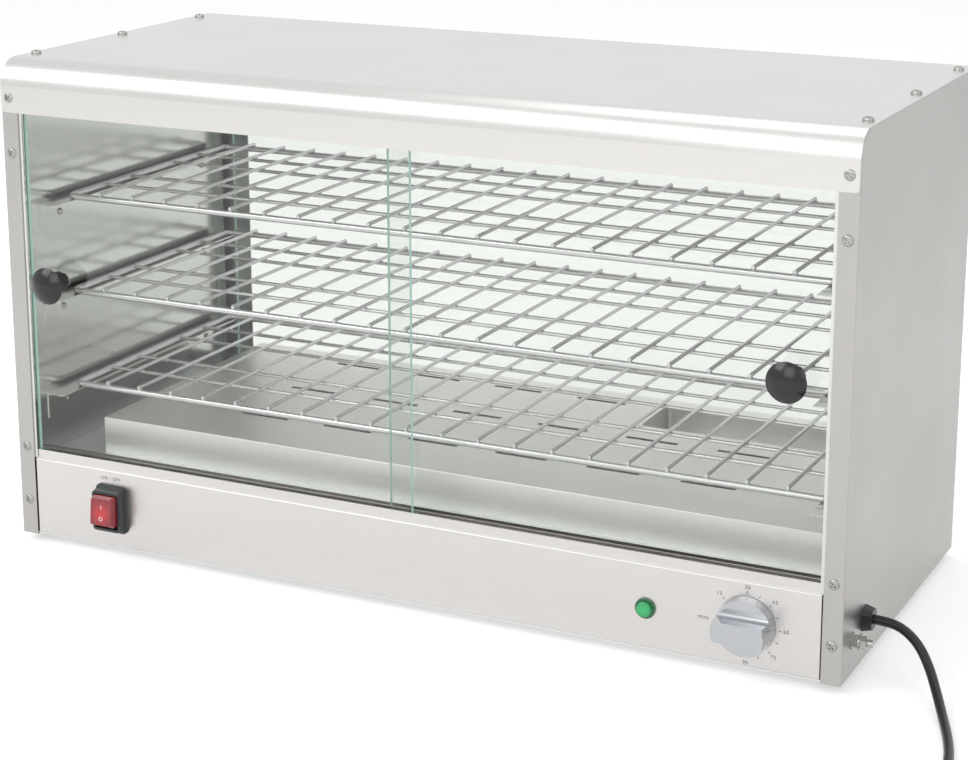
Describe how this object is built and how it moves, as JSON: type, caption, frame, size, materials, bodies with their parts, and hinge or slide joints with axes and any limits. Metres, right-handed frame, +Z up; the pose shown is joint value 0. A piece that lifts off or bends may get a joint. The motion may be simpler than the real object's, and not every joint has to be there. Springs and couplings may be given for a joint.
{
  "type": "pie warmer cabinet",
  "caption": "Counter-top food warmer in stainless sheet: sliding glass doors, lift-out wire racks, slotted element cover with a water tray, thermostat dial, rocker switch and mains lead.",
  "frame": {"origin": "middle of the object's box, without its lead, at the level of the feet's soles", "axes": "+X to the cabinet's right, along its width; +Y from the doors to the back; +Z up"},
  "size_m": [1.0276, 0.5968, 0.4608],
  "materials": {
    "stainless": "brushed stainless sheet, fine vertical grain",
    "stainless_inner": "plain stainless sheet, dull mill finish",
    "glass": "clear float glass with a green tint at the edges",
    "knob_plastic": "moulded black phenolic, polished",
    "bright_wire": "bright chromed steel wire",
    "pressed_steel": "drawn stainless, satin",
    "screw_steel": "bright stainless screw",
    "brass": "plain turned brass",
    "element_sheath": "heat-darkened nickel alloy tube",
    "green_plastic": "clear green polycarbonate",
    "black_plastic": "moulded black nylon",
    "black_rubber": "soft black rubber",
    "red_plastic": "clear red polycarbonate, lit from inside",
    "dial_chrome": "bright chrome plate",
    "spindle_steel": "plain turned steel",
    "copper_line": "plain copper tube",
    "terminal_white": "white heat-resisting plastic",
    "lead_sheath": "black flexible cord sheath"
  },
  "bodies": {
    "cabinet": {"side_panel_left": "stainless", "side_panel_right": "stainless", "top_panel": "stainless", "control_panel": "stainless", "door_track_bottom": "stainless", "door_track_top": "stainless", "side_liner_left": "stainless_inner", "side_liner_right": "stainless_inner", "floor_plate": "stainless_inner", "base_pan": "stainless_inner", "back_channel_bottom": "stainless_inner", "back_channel_top": "stainless_inner", "element_cover": "stainless_inner", "element_brackets": "stainless_inner", "runner_bottom_left": "stainless_inner", "runner_bottom_right": "stainless_inner", "runner_middle_left": "stainless_inner", "runner_middle_right": "stainless_inner", "runner_top_left": "stainless_inner", "runner_top_right": "stainless_inner", "back_glass": "glass", "front_screws": "screw_steel", "top_screws": "screw_steel", "rear_screws": "screw_steel", "base_screws": "screw_steel", "runner_screws": "screw_steel", "thermostat_screws": "screw_steel", "earth_stud": "screw_steel", "foot_screws": "screw_steel", "earth_nuts": "brass", "element_bushes": "brass", "heating_element": "element_sheath", "lamp_body": "green_plastic", "lamp_lens": "green_plastic", "lamp_nut": "green_plastic", "switch_body": "black_plastic", "thermostat_body": "black_plastic", "cable_gland": "black_plastic", "switch_boot": "black_rubber", "feet": "black_rubber", "bulb_clips": "spindle_steel", "capillary_bulb": "copper_line", "terminal_block": "terminal_white", "power_cord": "lead_sheath", "cord_coil": "lead_sheath", "mains_plug": "lead_sheath"},
    "left_door": {"left_door_glass": "glass", "left_door_knob": "knob_plastic", "left_knob_screw": "screw_steel"},
    "right_door": {"right_door_glass": "glass", "right_door_knob": "knob_plastic", "right_knob_screw": "screw_steel"},
    "bottom_rack": {"rack_bottom": "bright_wire"},
    "middle_rack": {"rack_middle": "bright_wire"},
    "top_rack": {"rack_top": "bright_wire"},
    "tray": {"water_tray": "pressed_steel"},
    "dial": {"dial_knob": "dial_chrome", "dial_spindle": "spindle_steel"},
    "rocker": {"switch_rocker": "red_plastic"}
  },
  "joints": [
    {"name": "left_door_slide", "type": "slide", "parent": "cabinet", "child": "left_door", "axis": [1, 0, 0], "range_m": [0, 0.325]},
    {"name": "right_door_slide", "type": "slide", "parent": "cabinet", "child": "right_door", "axis": [1, 0, 0], "range_m": [-0.325, 0]},
    {"name": "bottom_rack_lift", "type": "slide", "parent": "cabinet", "child": "bottom_rack", "axis": [0, 0, 1], "range_m": [0, 0.04]},
    {"name": "middle_rack_lift", "type": "slide", "parent": "cabinet", "child": "middle_rack", "axis": [0, 0, 1], "range_m": [0, 0.04]},
    {"name": "top_rack_lift", "type": "slide", "parent": "cabinet", "child": "top_rack", "axis": [0, 0, 1], "range_m": [0, 0.04]},
    {"name": "tray_lift", "type": "slide", "parent": "cabinet", "child": "tray", "axis": [0, 0, 1], "range_m": [0, 0.02]},
    {"name": "dial_turn", "type": "hinge", "parent": "cabinet", "child": "dial", "pos_m": [0.311, -0.1591, 0.046], "axis": [0, 1, 0], "range_deg": [0, 270]},
    {"name": "rocker_turn", "type": "hinge", "parent": "cabinet", "child": "rocker", "pos_m": [-0.3055, -0.1571, 0.047], "axis": [1, 0, 0], "range_deg": [0, 12]}
  ]
}
